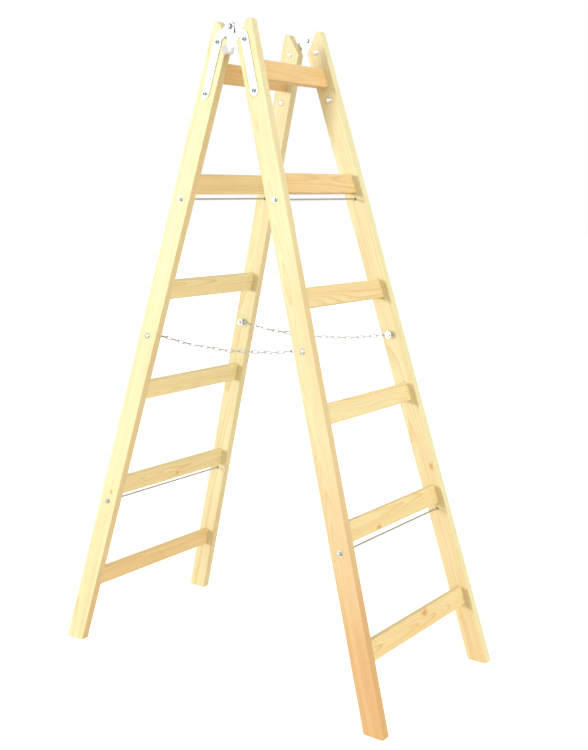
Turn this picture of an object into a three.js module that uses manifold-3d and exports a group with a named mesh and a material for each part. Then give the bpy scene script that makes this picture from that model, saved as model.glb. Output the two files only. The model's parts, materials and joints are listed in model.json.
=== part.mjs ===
// Wooden double step ladder: two halves of six rungs each, hinged at the top with flat steel
// straps, tied by steel rods and kept from spreading by two chains. A bucket hook swings on
// the left hinge bolt.
//
// Millimetres, +Z up. X runs along the rungs, the front half leans towards -Y and the rear
// half towards +Y. The origin is on the floor, midway between the four feet.
import * as THREE from 'three';
import { mergeVertices } from 'three/addons/utils/BufferGeometryUtils.js';
import Module from 'manifold-3d';

const wasm = await Module();
wasm.setup();

// ---- Driving dimensions -------------------------------------------------------------------
const GAP = 0.3; // clearance kept between touching pieces

const STRINGER_LENGTH = 1794; // along its centreline, from the top cut to the floor
const STRINGER_DEPTH = 58;
const STRINGER_THICKNESS = 24;
const HALF_SPREAD = THREE.MathUtils.degToRad(15.85); // each half's lean when open
const HINGE_HALF_WIDTH = 163; // outer face of a stringer at the height of the hinge axis
const SPLAY = 0.069; // outward drift of a stringer per millimetre down the half

const HINGE_OFFSET = 33; // hinge axis to a stringer's centreline
const TOP_ABOVE_HINGE = 2.4; // top cut above the hinge axis, along the half
const TOP_FLAT = 15; // width left square at the top, outside the 45 degree bevel
const TOP_CORNER = 7;
const FOOT_CORNER = 7;

const RUNG_COUNT = 6;
const RUNG_PITCH = 295;
const TOP_RUNG_DROP = 124; // top cut to the middle of the highest rung
const RUNG_HEIGHT = 52;
const RUNG_THICKNESS = 20;
const RUNG_CORNER = 3;
const HOUSING_DEPTH = 12; // how far a rung is let into each stringer

const ROD_RADIUS = 3;
const ROD_BORE = 4; // radius of the hole in the stringer
const ROD_DROP = 41; // rung's middle to the rod below it
const ROD_RUNGS = { lower: 2, upper: 5 }; // rungs counted from the floor

const STRAP_WIDTH = 22;
const STRAP_THICKNESS = 3;
const STRAP_LEG_ANGLE = THREE.MathUtils.degToRad(45.5); // upper leg against the stringer
const STRAP_BEND_RADIUS = 14;
const STRAP_BOLT_DROPS = { upper: 48, lower: 181 }; // below the top cut
const STRAP_END = 13; // lower bolt to the strap's rounded end
const EYE_REACH = 19; // length of strap kept at the eye's level, from the hinge axis
const EYE_LEVELS = { front: 0.5, rear: 0.5 + STRAP_THICKNESS + GAP }; // off the outer face
const STRAP_SETTLED = { front: 26, rear: 34 }; // where the strap lies on the stringer again

const M6 = { radius: 3, nutRadius: 5.8, nutHeight: 5, washerRadius: 8, washerHeight: 1.2 };
const M8 = { radius: 4, nutRadius: 7.5, nutHeight: 5.5, washerRadius: 8.5, washerHeight: 1.6 };
const DOME_HEAD = { radius: 7.6, height: 3.8 };
const BOLT_END = 1.5; // thread that shows past a nut
const TILT_GAP = 0.9; // clearance of a level washer from the splayed face

const HOOK_WIDTH = 21;
const HOOK_THICKNESS = 3;
const HOOK_BEND = 10; // radius of the J, to the middle of the bar
const HOOK_DROP = 70; // hinge axis to the bottom of the J
const HOOK_TIP_RISE = 21; // bottom of the J to its tip
const HOOK_FLARE = THREE.MathUtils.degToRad(27); // the tip's lean away from the ladder
const HOOK_TIP_CORNER = 5;

const CHAIN_DROP = 844; // top cut to the chain's anchor bolt
const LINK_PITCH = 21.28;
const LINKS_PER_STRAND = 6;
const CHAIN_EYE_RADIUS = 6;
const CHAIN_BAR = 5; // width of a strand's stand-in bar, in the plane that it swings in
const CHAIN_BAR_THICKNESS = 2.8;
const CHAIN_SLOPE_RATIO = 0.367; // slope of the second strand against the first, as it sags
const CHAIN_END_WASHER = { radius: 10, height: 1.5 };

// ---- Derived sizes ------------------------------------------------------------------------
const STRINGER_Y = -HINGE_OFFSET; // centreline, in a half's own frame (origin on the hinge)
const INNER_EDGE_Y = STRINGER_Y + STRINGER_DEPTH / 2;
const OUTER_EDGE_Y = STRINGER_Y - STRINGER_DEPTH / 2;
const HINGE_Z =
  (STRINGER_LENGTH - TOP_ABOVE_HINGE) * Math.cos(HALF_SPREAD) - HINGE_OFFSET * Math.sin(HALF_SPREAD);
const FACE_TILT = Math.atan(SPLAY);
const STRINGER_SPAN_X = STRINGER_THICKNESS / Math.cos(FACE_TILT);
const CHAIN_SLOT = 2 * CHAIN_BAR_THICKNESS + 3 * GAP; // room between the anchor's washers
const ANCHOR_STACK = TILT_GAP + M6.washerHeight + M6.nutHeight; // washer and nut on the wood
// The first link hangs round the anchor bolt and pulls against its far side.
const STRAND_1 = LINKS_PER_STRAND * LINK_PITCH - M6.radius;
const STRAND_2 = LINKS_PER_STRAND * LINK_PITCH;

const outerX = (z) => HINGE_HALF_WIDTH - SPLAY * z;
const innerX = (z) => outerX(z) - STRINGER_SPAN_X;
const belowTop = (drop) => TOP_ABOVE_HINGE - drop;
const rungZ = (number) => belowTop(TOP_RUNG_DROP + (RUNG_COUNT - number) * RUNG_PITCH);
const floorZ = (y) => y * Math.tan(HALF_SPREAD) - HINGE_Z / Math.cos(HALF_SPREAD);

// ---- Materials ----------------------------------------------------------------------------
const pine = (color) => new THREE.MeshStandardMaterial({ color, roughness: 0.6, metalness: 0 });
const STRINGER_PINE = pine(0xf0d8a0);
const RUNG_PINE = pine(0xe3b878);
const ZINC = new THREE.MeshStandardMaterial({ color: 0xd4d8da, roughness: 0.35, metalness: 1 });

// ---- Solid helpers ------------------------------------------------------------------------
function toManifold(geometry) {
  const bare = geometry.clone();
  bare.deleteAttribute('normal');
  bare.deleteAttribute('uv');
  const merged = mergeVertices(bare, 1e-4);
  return new wasm.Manifold(
    new wasm.Mesh({
      numProp: 3,
      vertProperties: new Float32Array(merged.attributes.position.array),
      triVerts: new Uint32Array(merged.index.array),
    }),
  );
}

function toGeometry(manifold) {
  const mesh = manifold.getMesh();
  const geometry = new THREE.BufferGeometry();
  geometry.setAttribute('position', new THREE.BufferAttribute(mesh.vertProperties, 3));
  geometry.setIndex(new THREE.BufferAttribute(mesh.triVerts, 1));
  geometry.computeVertexNormals();
  return geometry;
}

function cut(body, ...tools) {
  return toGeometry(tools.reduce((rest, tool) => rest.subtract(toManifold(tool)), toManifold(body)));
}

function join(...bodies) {
  return toGeometry(bodies.map(toManifold).reduce((whole, body) => whole.add(body)));
}

function common(first, second) {
  return toGeometry(toManifold(first).intersect(toManifold(second)));
}

// Extrudes a (y, z) outline along X from x0 to x1.
function alongX(outline, x0, x1, curveSegments = 6) {
  const geometry = new THREE.ExtrudeGeometry(outline, {
    depth: x1 - x0,
    bevelEnabled: false,
    curveSegments,
  });
  const turn = new THREE.Matrix4().makeBasis(
    new THREE.Vector3(0, 1, 0),
    new THREE.Vector3(0, 0, 1),
    new THREE.Vector3(1, 0, 0),
  );
  return geometry.applyMatrix4(turn).translate(x0, 0, 0);
}

// A cylinder along +Y from y0 to y1; its flats, not its corners, touch the given radius.
function rod(radius, y0, y1, sides = 12) {
  const corner = radius / Math.cos(Math.PI / sides);
  return new THREE.CylinderGeometry(corner, corner, y1 - y0, sides).translate(0, (y0 + y1) / 2, 0);
}

function hexagon(radius, y0, y1) {
  return new THREE.CylinderGeometry(radius, radius, y1 - y0, 6).translate(0, (y0 + y1) / 2, 0);
}

// A domed bolt head whose flat underside is at y, bulging towards -Y.
function domeHead(y) {
  const steps = 4;
  const profile = [];
  for (let i = 0; i <= steps; i += 1) {
    const angle = (i / steps) * (Math.PI / 2);
    profile.push(
      new THREE.Vector2(DOME_HEAD.radius * Math.sin(angle), y - DOME_HEAD.height * Math.cos(angle)),
    );
  }
  profile.push(new THREE.Vector2(0, y));
  return new THREE.LatheGeometry(profile, 16);
}

// Turns a piece built along +Y so that its axis points along the given direction.
function aim(geometry, direction) {
  const turn = new THREE.Quaternion().setFromUnitVectors(new THREE.Vector3(0, 1, 0), direction);
  return geometry.applyQuaternion(turn);
}

const level = (side) => new THREE.Vector3(side, 0, 0);
const faceNormal = (side) =>
  new THREE.Vector3(side * Math.cos(FACE_TILT), 0, Math.sin(FACE_TILT));

function piece(parent, name, geometry, material) {
  const mesh = new THREE.Mesh(geometry, material);
  mesh.name = name;
  parent.add(mesh);
  return mesh;
}

// A closed outline with each corner rounded by its own radius; corners are [x, y, radius].
function roundedOutline(corners) {
  const shape = new THREE.Shape();
  corners.forEach(([x, y, radius], i) => {
    const here = new THREE.Vector2(x, y);
    const before = new THREE.Vector2(...corners[(i + corners.length - 1) % corners.length]);
    const after = new THREE.Vector2(...corners[(i + 1) % corners.length]);
    const back = before.sub(here).normalize();
    const ahead = after.sub(here).normalize();
    const halfAngle = Math.acos(THREE.MathUtils.clamp(back.dot(ahead), -1, 1)) / 2;
    const reach = radius / Math.tan(halfAngle);
    const start = here.clone().addScaledVector(back, reach);
    const end = here.clone().addScaledVector(ahead, reach);
    if (i === 0) shape.moveTo(start.x, start.y);
    else shape.lineTo(start.x, start.y);
    if (radius > 0) shape.quadraticCurveTo(here.x, here.y, end.x, end.y);
  });
  shape.closePath();
  return shape;
}

// ---- Wood ---------------------------------------------------------------------------------
function stringerOutline() {
  const top = TOP_ABOVE_HINGE;
  const bevelStart = OUTER_EDGE_Y + TOP_FLAT;
  const bevelDrop = INNER_EDGE_Y - bevelStart;
  return roundedOutline([
    [OUTER_EDGE_Y, floorZ(OUTER_EDGE_Y), FOOT_CORNER],
    [INNER_EDGE_Y, floorZ(INNER_EDGE_Y), FOOT_CORNER],
    [INNER_EDGE_Y, top - bevelDrop, TOP_CORNER],
    [bevelStart, top, TOP_CORNER],
    [OUTER_EDGE_Y, top, TOP_CORNER],
  ]);
}

function rungOutline(margin = 0) {
  const y = RUNG_THICKNESS / 2 + margin;
  const z = RUNG_HEIGHT / 2 + margin;
  const corner = RUNG_CORNER;
  return roundedOutline([
    [-y, -z, corner],
    [y, -z, corner],
    [y, z, corner],
    [-y, z, corner],
  ]);
}

function stringer(side) {
  const blank = alongX(stringerOutline(), 0, 1, 4);
  const position = blank.attributes.position;
  for (let i = 0; i < position.count; i += 1) {
    const z = position.getZ(i);
    const lower = side > 0 ? innerX(z) : -outerX(z);
    position.setX(i, lower + position.getX(i) * STRINGER_SPAN_X);
  }
  const tools = [];
  for (let number = 1; number <= RUNG_COUNT; number += 1) {
    const z = rungZ(number);
    const depth = HOUSING_DEPTH + GAP;
    const edge = innerX(z);
    const housing = alongX(rungOutline(GAP), side > 0 ? edge - depth : -edge - depth,
      side > 0 ? edge + depth : -edge + depth, 2);
    tools.push(housing.translate(0, STRINGER_Y, z));
  }
  const across = 2 * STRINGER_THICKNESS;
  for (const drop of Object.values(STRAP_BOLT_DROPS)) {
    const bore = aim(rod(M6.radius + GAP, -across, across), faceNormal(side));
    tools.push(bore.translate(side * outerX(belowTop(drop)), STRINGER_Y, belowTop(drop)));
  }
  for (const number of Object.values(ROD_RUNGS)) {
    const z = rungZ(number) - ROD_DROP;
    tools.push(aim(rod(ROD_BORE, -across, across), level(side)).translate(side * outerX(z), STRINGER_Y, z));
  }
  const anchorZ = belowTop(CHAIN_DROP);
  const anchorBore = aim(rod(M6.radius + GAP, -across, across), level(side));
  tools.push(anchorBore.translate(side * outerX(anchorZ), STRINGER_Y, anchorZ));
  return cut(blank, ...tools);
}

function rung(number) {
  const z = rungZ(number);
  const halfLength = innerX(z + RUNG_HEIGHT / 2) + HOUSING_DEPTH - GAP;
  return alongX(rungOutline(), -halfLength, halfLength, 2).translate(0, STRINGER_Y, z);
}

// ---- Tie rods -----------------------------------------------------------------------------
function tieRod(z) {
  const reach = outerX(z) + TILT_GAP + M6.washerHeight + M6.nutHeight + BOLT_END;
  return aim(rod(ROD_RADIUS, -reach, reach), level(1)).translate(0, STRINGER_Y, z);
}

// A hexagon nut on a washer, along +Y from y = 0, with a clear bore.
function nutOnWasher(size) {
  const height = size.washerHeight + size.nutHeight;
  const body = join(
    rod(size.washerRadius, 0, size.washerHeight, 16),
    hexagon(size.nutRadius, size.washerHeight / 2, height),
  );
  return cut(body, rod(size.radius + GAP, -1, height + 1));
}

function rodNut(side, z) {
  return aim(nutOnWasher(M6), level(side)).translate(side * (outerX(z) + TILT_GAP), STRINGER_Y, z);
}

// ---- Hinge --------------------------------------------------------------------------------
// Stations along the strap's middle line, from beyond the eye to beyond the lower bolt. Each
// has its place, the direction square to the strap, half its width and its distance from the
// hinge axis.
function strapStations() {
  const half = STRAP_WIDTH / 2;
  const bendZ = -HINGE_OFFSET / Math.tan(STRAP_LEG_ANGLE);
  const legLength = Math.hypot(HINGE_OFFSET, bendZ);
  const legDirection = new THREE.Vector2(STRINGER_Y, bendZ).normalize();
  const setback = STRAP_BEND_RADIUS * Math.tan(STRAP_LEG_ANGLE / 2);
  const straightEnd = belowTop(STRAP_BOLT_DROPS.lower);
  const stations = [];
  const add = (point, direction, width) => {
    const last = stations[stations.length - 1];
    const travelled = last ? last.travelled + point.distanceTo(last.point) : -half;
    const across = new THREE.Vector2(-direction.y, direction.x);
    stations.push({ point: point.clone(), across, width, travelled });
  };
  const capSteps = 9;
  for (let i = 0; i < capSteps; i += 1) {
    const angle = ((i + 0.4) / capSteps) * (Math.PI / 2);
    const point = legDirection.clone().multiplyScalar(-half * Math.cos(angle));
    add(point, legDirection, half * Math.sin(angle));
  }
  for (const reach of [0, 10, EYE_REACH, STRAP_SETTLED.front, legLength - setback]) {
    add(legDirection.clone().multiplyScalar(reach), legDirection, half);
  }
  const bendSteps = 8;
  const bendStart = legDirection.clone().multiplyScalar(legLength - setback);
  const startAngle = Math.atan2(legDirection.y, legDirection.x);
  let point = bendStart;
  for (let i = 1; i <= bendSteps; i += 1) {
    const turned = (i / bendSteps) * STRAP_LEG_ANGLE;
    const direction = new THREE.Vector2(Math.cos(startAngle + turned), Math.sin(startAngle + turned));
    const middle = startAngle + turned - STRAP_LEG_ANGLE / bendSteps / 2;
    const step = 2 * STRAP_BEND_RADIUS * Math.sin(STRAP_LEG_ANGLE / bendSteps / 2);
    point = point.clone().add(new THREE.Vector2(Math.cos(middle), Math.sin(middle)).multiplyScalar(step));
    add(point, direction, half);
  }
  const down = new THREE.Vector2(0, -1);
  add(new THREE.Vector2(STRINGER_Y, straightEnd), down, half);
  for (let i = capSteps - 1; i >= 0; i -= 1) {
    const angle = ((i + 0.4) / capSteps) * (Math.PI / 2);
    const z = straightEnd - STRAP_END * Math.cos(angle);
    add(new THREE.Vector2(STRINGER_Y, z), down, half * Math.sin(angle));
  }
  return stations;
}

// The strap lies on the stringer's outer face and steps out to its own level at the eye.
function strapX(half, z, travelled) {
  const eye = HINGE_HALF_WIDTH + EYE_LEVELS[half];
  const onFace = outerX(z) + GAP;
  const blend = THREE.MathUtils.smoothstep(travelled, EYE_REACH, STRAP_SETTLED[half]);
  return THREE.MathUtils.lerp(eye, onFace, blend);
}

function hingeStrap(side, half) {
  const positions = [];
  const indices = [];
  const stations = strapStations();
  for (const { point, across, width, travelled } of stations) {
    for (const edge of [-1, 1]) {
      const y = point.x + edge * width * across.x;
      const z = point.y + edge * width * across.y;
      const x = strapX(half, z, travelled);
      positions.push(side * x, y, z, side * (x + STRAP_THICKNESS), y, z);
    }
  }
  // Corners of one station, in order round the section: inner and outer face of each edge.
  const ring = side > 0 ? [0, 2, 3, 1] : [0, 1, 3, 2];
  const quad = (a, b, c, d) => indices.push(a, b, c, a, c, d);
  for (let i = 0; i + 1 < stations.length; i += 1) {
    for (let k = 0; k < 4; k += 1) {
      const here = ring[k];
      const next = ring[(k + 1) % 4];
      quad(4 * i + here, 4 * i + next, 4 * (i + 1) + next, 4 * (i + 1) + here);
    }
  }
  const last = 4 * (stations.length - 1);
  quad(ring[3], ring[2], ring[1], ring[0]);
  quad(last + ring[0], last + ring[1], last + ring[2], last + ring[3]);
  const blank = new THREE.BufferGeometry();
  blank.setAttribute('position', new THREE.Float32BufferAttribute(positions, 3));
  blank.setIndex(indices);

  const reach = 2 * STRINGER_THICKNESS;
  const tools = [
    aim(rod(M8.radius + GAP, -reach, reach), level(side)).translate(side * HINGE_HALF_WIDTH, 0, 0),
  ];
  for (const drop of Object.values(STRAP_BOLT_DROPS)) {
    const z = belowTop(drop);
    const bore = aim(rod(M6.radius + GAP, -reach, reach), faceNormal(side));
    tools.push(bore.translate(side * outerX(z), STRINGER_Y, z));
  }
  return cut(blank, ...tools);
}

// A domed bolt through stringer and strap, with its nut outside on the strap.
function strapBolt(side, z) {
  const nutStart = 2 * GAP + STRAP_THICKNESS;
  const nutEnd = nutStart + M6.nutHeight;
  const headFlat = -STRINGER_THICKNESS - GAP;
  const bolt = join(
    rod(M6.radius, headFlat - 1, nutEnd + BOLT_END),
    domeHead(headFlat),
    hexagon(M6.nutRadius, nutStart, nutEnd),
  );
  return aim(bolt, faceNormal(side)).translate(side * outerX(z), STRINGER_Y, z);
}

const stackEnd = (hasHook) =>
  EYE_LEVELS.rear + STRAP_THICKNESS + GAP + (hasHook ? HOOK_THICKNESS + GAP : 0);

function hingeBolt(side, hasHook) {
  const head = EYE_LEVELS.front - GAP;
  const end = stackEnd(hasHook) + M8.washerHeight + M8.nutHeight + BOLT_END;
  const bolt = join(rod(M8.radius, head - 1, end), hexagon(M8.nutRadius, head - M8.nutHeight, head));
  return aim(bolt, level(side)).translate(side * HINGE_HALF_WIDTH, 0, 0);
}

function hingeNut(side, hasHook) {
  const x = HINGE_HALF_WIDTH + stackEnd(hasHook);
  return aim(nutOnWasher(M8), level(side)).translate(side * x, 0, 0);
}

// ---- Bucket hook --------------------------------------------------------------------------
// A flat bar bent to a J in the X-Z plane. Built on the left, opening away from the ladder.
function bucketHook() {
  const near = HINGE_HALF_WIDTH + EYE_LEVELS.rear + STRAP_THICKNESS + GAP;
  const middle = near + HOOK_THICKNESS / 2;
  const bendZ = -HOOK_DROP + HOOK_BEND + HOOK_THICKNESS / 2;
  const bendRise = HOOK_BEND * (1 - Math.sin(HOOK_FLARE)) + HOOK_THICKNESS / 2;
  const tipLength = (HOOK_TIP_RISE - bendRise) / Math.cos(HOOK_FLARE);
  const path = [[middle, HOOK_WIDTH / 2 + 1, 0]];
  const steps = 18;
  for (let i = 0; i <= steps; i += 1) {
    const angle = (i / steps) * (Math.PI - HOOK_FLARE);
    path.push([
      middle + HOOK_BEND * (1 - Math.cos(angle)),
      bendZ - HOOK_BEND * Math.sin(angle),
      angle,
    ]);
  }
  const [lastX, lastZ, lastAngle] = path[path.length - 1];
  path.push([
    lastX + tipLength * Math.sin(HOOK_FLARE),
    lastZ + tipLength * Math.cos(HOOK_FLARE),
    lastAngle,
  ]);
  const rim = (sign) =>
    path.map(([x, z, angle]) => {
      const offset = (sign * HOOK_THICKNESS) / 2;
      return new THREE.Vector2(x + offset * Math.cos(angle), z + offset * Math.sin(angle));
    });
  const outline = [...rim(-1), ...rim(1).reverse()];
  // The outline is drawn with X reversed, because the hook is on the left side.
  const shape = new THREE.Shape(outline.map((p) => new THREE.Vector2(-p.x, p.y)));
  const bar = new THREE.ExtrudeGeometry(shape, { depth: HOOK_WIDTH, bevelEnabled: false });
  bar.rotateX(Math.PI / 2).translate(0, HOOK_WIDTH / 2, 0);

  // Seen along X, the shank ends round about the bore, and the tip has rounded corners.
  const half = HOOK_WIDTH / 2;
  const base = -HOOK_DROP - 5;
  const shank = new THREE.Shape();
  shank.moveTo(-half, base);
  shank.lineTo(half, base);
  shank.lineTo(half, 0);
  shank.absarc(0, 0, half, 0, Math.PI, false);
  shank.closePath();
  const tipTop = HOOK_TIP_RISE - HOOK_DROP + (HOOK_THICKNESS / 2) * Math.sin(HOOK_FLARE);
  const tip = roundedOutline([
    [-half, base, 0],
    [half, base, 0],
    [half, tipTop, HOOK_TIP_CORNER],
    [-half, tipTop, HOOK_TIP_CORNER],
  ]);
  const parting = -middle - HOOK_BEND;
  const mask = join(
    alongX(shank, parting, 0, 16),
    alongX(tip, 2 * parting, parting + 1, 8),
  );
  const bore = aim(rod(M8.radius + GAP, -30, 30), level(1)).translate(-middle, 0, 0);
  return cut(common(bar, mask), bore);
}

// ---- Chains -------------------------------------------------------------------------------
// A domed bolt, head outside. Inside, one nut clamps it to the stringer, and the chain's last
// link turns freely on the shank between that nut and an end washer with its own nut.
function chainAnchor(side, z) {
  const inside = innerX(z) - outerX(z);
  const clampEnd = inside - ANCHOR_STACK;
  const washerStart = clampEnd - CHAIN_SLOT;
  const washerEnd = washerStart - CHAIN_END_WASHER.height;
  const nutEnd = washerEnd - M6.nutHeight + 1;
  const head = domeHead(0).rotateX(Math.PI).translate(0, TILT_GAP - 0.2, 0);
  const bolt = join(
    rod(M6.radius, nutEnd - BOLT_END, 2),
    head,
    rod(M6.washerRadius, inside - TILT_GAP - M6.washerHeight, inside - TILT_GAP, 16),
    hexagon(M6.nutRadius, clampEnd, inside - TILT_GAP - M6.washerHeight / 2),
    rod(CHAIN_END_WASHER.radius, washerEnd, washerStart, 16),
    hexagon(M6.nutRadius, nutEnd, washerStart - CHAIN_END_WASHER.height / 2),
  );
  return aim(bolt, level(side)).translate(side * outerX(z), STRINGER_Y, z);
}

// The open chain sags: the first strand falls at one slope, the second at a share of it and
// the middle link lies level. The slope is the one that closes the span between the anchors.
function chainSlopes(halfSpan) {
  let low = 0;
  let high = 0.5;
  for (let i = 0; i < 50; i += 1) {
    const slope = (low + high) / 2;
    const reach =
      STRAND_1 * Math.cos(slope) + STRAND_2 * Math.cos(CHAIN_SLOPE_RATIO * slope) + LINK_PITCH / 2;
    if (reach > halfSpan) low = slope;
    else high = slope;
  }
  return { first: low, second: low * CHAIN_SLOPE_RATIO };
}

// A bar along +Y between two distances from its pivot, with an eye round the pivot if wanted.
function chainBar(start, end, x0, hasEye) {
  const half = CHAIN_BAR / 2;
  const outline = new THREE.Shape();
  outline.moveTo(start, -half);
  outline.lineTo(end - half, -half);
  outline.absarc(end - half, 0, half, -Math.PI / 2, Math.PI / 2, false);
  outline.lineTo(start, half);
  outline.closePath();
  const x1 = x0 + CHAIN_BAR_THICKNESS;
  const bar = alongX(outline, x0, x1, 4);
  if (!hasEye) return bar;
  const eye = aim(rod(CHAIN_EYE_RADIUS, x0, x1, 16), level(1));
  return cut(join(bar, eye), aim(rod(M6.radius + GAP, x0 - 1, x1 + 1), level(1)));
}

function chain(parent, side, sideName) {
  const anchorZ = belowTop(CHAIN_DROP);
  const sin = Math.sin(HALF_SPREAD);
  const cos = Math.cos(HALF_SPREAD);
  const halfSpan = HINGE_OFFSET * cos - anchorZ * sin;
  const height = HINGE_Z + HINGE_OFFSET * sin + anchorZ * cos;
  const slopes = chainSlopes(halfSpan);
  const clearance = CHAIN_BAR / 2 + GAP;
  const slotStart = innerX(anchorZ) - ANCHOR_STACK - GAP;

  for (const [half, sign] of [['front', 1], ['rear', -1]]) {
    const layer = half === 'front' ? 1 : 2;
    const inward = slotStart - layer * CHAIN_BAR_THICKNESS - (layer - 1) * GAP;
    const x0 = side > 0 ? inward : -inward - CHAIN_BAR_THICKNESS;
    const strand = (name, y, z, slope, length, hasEye) => {
      const start = hasEye ? M6.radius + 1 : clearance;
      const mesh = piece(parent, name, chainBar(start, length - clearance, x0, hasEye), ZINC);
      mesh.position.set(0, y, z);
      mesh.rotation.x = sign > 0 ? -slope : slope - Math.PI;
      return [y + sign * length * Math.cos(slope), z - length * Math.sin(slope)];
    };
    const label = `chain_${sideName}_${half}`;
    const start = strand(`${label}_upper`, -sign * halfSpan, height, slopes.first, STRAND_1, true);
    const end = strand(`${label}_lower`, ...start, slopes.second, STRAND_2, false);
    if (half === 'front') strand(`chain_${sideName}_middle`, ...end, 0, LINK_PITCH, false);
  }
}

// ---- Assembly -----------------------------------------------------------------------------
// One half in its own frame: origin on the hinge axis, -Z down the half, +Y to the other half.
function ladderHalf(half) {
  const group = new THREE.Group();
  const sides = half === 'front' ? { left: -1, right: 1 } : { left: 1, right: -1 };
  for (let number = 1; number <= RUNG_COUNT; number += 1) {
    piece(group, `${half}_rung_${number}`, rung(number), RUNG_PINE);
  }
  for (const [place, number] of Object.entries(ROD_RUNGS)) {
    piece(group, `${half}_tie_rod_${place}`, tieRod(rungZ(number) - ROD_DROP), ZINC);
  }
  for (const [sideName, side] of Object.entries(sides)) {
    piece(group, `${half}_stringer_${sideName}`, stringer(side), STRINGER_PINE);
    piece(group, `${half}_hinge_strap_${sideName}`, hingeStrap(side, half), ZINC);
    for (const [place, drop] of Object.entries(STRAP_BOLT_DROPS)) {
      const bolt = strapBolt(side, belowTop(drop));
      piece(group, `${half}_strap_bolt_${place}_${sideName}`, bolt, ZINC);
    }
    for (const [place, number] of Object.entries(ROD_RUNGS)) {
      const nut = rodNut(side, rungZ(number) - ROD_DROP);
      piece(group, `${half}_rod_nut_${place}_${sideName}`, nut, ZINC);
    }
    const anchor = chainAnchor(side, belowTop(CHAIN_DROP));
    piece(group, `${half}_chain_anchor_${sideName}`, anchor, ZINC);
  }
  group.rotation.x = -HALF_SPREAD;
  group.position.z = HINGE_Z;
  const turned = new THREE.Group();
  turned.add(group);
  turned.rotation.z = half === 'front' ? 0 : Math.PI;
  return turned;
}

const ladder = new THREE.Group();
ladder.add(ladderHalf('front'), ladderHalf('rear'));

const hinge = new THREE.Group();
hinge.position.z = HINGE_Z;
piece(hinge, 'hinge_bolt_left', hingeBolt(-1, true), ZINC);
piece(hinge, 'hinge_bolt_right', hingeBolt(1, false), ZINC);
piece(hinge, 'hinge_nut_left', hingeNut(-1, true), ZINC);
piece(hinge, 'hinge_nut_right', hingeNut(1, false), ZINC);
piece(hinge, 'bucket_hook', bucketHook(), ZINC);
ladder.add(hinge);

chain(ladder, -1, 'left');
chain(ladder, 1, 'right');

export default ladder;
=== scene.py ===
"""A wooden double step ladder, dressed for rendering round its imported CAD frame.

Everything is in metres and in the frame's own axes: X along the rungs, the front half leans
towards -Y, the rear half towards +Y, and the floor is Z = 0.
"""
import json
import math

import bmesh
import bpy
from mathutils import Matrix, Vector


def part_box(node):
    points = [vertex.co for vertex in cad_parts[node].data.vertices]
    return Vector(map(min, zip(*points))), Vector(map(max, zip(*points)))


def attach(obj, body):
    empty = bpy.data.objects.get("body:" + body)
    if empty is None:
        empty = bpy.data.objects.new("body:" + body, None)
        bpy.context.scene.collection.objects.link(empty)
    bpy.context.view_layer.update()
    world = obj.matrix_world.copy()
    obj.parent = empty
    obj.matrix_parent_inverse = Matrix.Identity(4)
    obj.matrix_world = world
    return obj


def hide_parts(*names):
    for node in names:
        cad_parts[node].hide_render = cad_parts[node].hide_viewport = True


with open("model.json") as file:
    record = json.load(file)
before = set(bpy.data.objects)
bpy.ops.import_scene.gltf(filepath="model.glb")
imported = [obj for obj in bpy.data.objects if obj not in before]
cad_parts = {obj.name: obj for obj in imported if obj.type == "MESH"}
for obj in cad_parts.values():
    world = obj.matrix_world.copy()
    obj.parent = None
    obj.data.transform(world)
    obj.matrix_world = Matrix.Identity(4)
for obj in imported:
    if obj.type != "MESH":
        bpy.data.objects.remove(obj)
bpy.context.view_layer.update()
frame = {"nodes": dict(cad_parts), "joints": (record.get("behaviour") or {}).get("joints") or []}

MM = 0.001

# ---- Driving sizes, as in the CAD ------------------------------------------------------------
HINGE_HALF_WIDTH = 163 * MM  # outer face of a stringer, level with the hinge
SPLAY = 0.069  # outward drift of a stringer for each metre down the half
HINGE_OFFSET = 33 * MM  # hinge axis to a stringer's centreline
TOP_ABOVE_HINGE = 2.4 * MM
STRINGER_THICKNESS = 24 * MM
STRAP_THICKNESS = 3 * MM
STRAP_BOLT_DROPS = {"upper": 48 * MM, "lower": 181 * MM}
GAP = 0.3 * MM  # between parts that touch
TILT_GAP = 0.9 * MM  # clearance of a level nut or head from the splayed face
M6 = {"shank": 3.0 * MM, "nut": 5.8 * MM, "height": 5.0 * MM, "washer": 8.0 * MM}
M8 = {"shank": 4.0 * MM, "nut": 7.5 * MM, "height": 5.5 * MM, "washer": 8.5 * MM}
WASHER_HEIGHT = {"M6": 1.2 * MM, "M8": 1.6 * MM}
DOME_RADIUS = 7.6 * MM
DOME_HEIGHT = 3.8 * MM
BOLT_END = 1.5 * MM  # thread that shows past a nut
CHAIN_SLOT = 6.5 * MM  # room for the chain between an anchor's washers
END_WASHER = {"radius": 10 * MM, "height": 1.5 * MM}
LINK_PITCH = 21.28 * MM
LINK_WIRE = 2.5 * MM
LINK_INNER_WIDTH = 4.4 * MM
LINKS_PER_STRAND = 6

SIDES = {"left": -1, "right": 1}
HALVES = ("front", "rear")
AXIS_X = Vector((1, 0, 0))


def centre(node):
    low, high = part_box(node)
    return (low + high) / 2


HINGE = centre("hinge_bolt_left")
HINGE.x = 0
FACE_TILT = math.atan(SPLAY)


def up(half):
    """The direction up a half, square to its rungs, from the places of its two tie rods."""
    return (centre(f"{half}_tie_rod_upper") - centre(f"{half}_tie_rod_lower")).normalized()


def inward(half):
    """The direction square to a half, towards the other half."""
    turn = AXIS_X if half == "front" else -AXIS_X
    return up(half).cross(turn)


def outward(half, side):
    """The outer face's normal of a stringer."""
    return AXIS_X * side * math.cos(FACE_TILT) + up(half) * math.sin(FACE_TILT)


def outer_point(half, side, drop):
    """The point on a stringer's outer face, on its centreline, that far below the top cut."""
    z = TOP_ABOVE_HINGE - drop
    x = side * (HINGE_HALF_WIDTH - SPLAY * z)
    return HINGE + AXIS_X * x - inward(half) * HINGE_OFFSET + up(half) * z


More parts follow.
